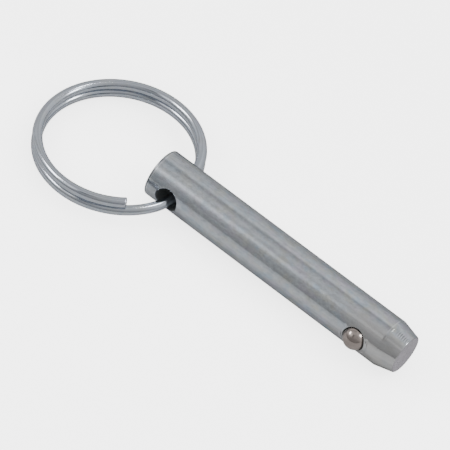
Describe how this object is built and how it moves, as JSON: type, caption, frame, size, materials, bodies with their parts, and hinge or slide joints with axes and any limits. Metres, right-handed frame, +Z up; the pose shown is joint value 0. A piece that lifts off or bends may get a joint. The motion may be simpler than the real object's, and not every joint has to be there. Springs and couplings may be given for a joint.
{
  "type": "detent hitch pin",
  "caption": "Plain round steel hitch pin, bright zinc plated, with a sprung detent ball near its tapered nose and a split ring through its head end.",
  "frame": {"origin": "on the pin's axis where its free grip starts, at the nose side of the ring hole", "axes": "+X along the pin from its head to its nose, +Z up, +Y away from the side that the ball and the mouth of the ring hole face; the pin lies on its side on a surface 6.35 mm below its axis"},
  "size_m": [0.1107, 0.0429, 0.0126],
  "materials": {
    "zinc_plate": "bright clear zinc plate over drawn steel bar",
    "ring_wire": "bright zinc plate over spring wire",
    "ball_steel": "polished bearing steel",
    "spring_steel": "plain spring wire"
  },
  "bodies": {
    "pin": {"pin_body": "zinc_plate", "detent_spring": "spring_steel"},
    "ring": {"split_ring": "ring_wire"},
    "ball": {"detent_ball": "ball_steel"}
  },
  "joints": [
    {"name": "ring_swing", "type": "hinge", "parent": "pin", "child": "ring", "pos_m": [-0.00317, 0, 0], "axis": [0, 1, 0], "range_deg": [-161, 171]},
    {"name": "ball_press", "type": "slide", "parent": "pin", "child": "ball", "axis": [0, -0.9966, 0.0819], "range_m": [-0.00205, 0], "stiffness_N_per_m": 4000, "deforming": ["detent_spring"]}
  ]
}
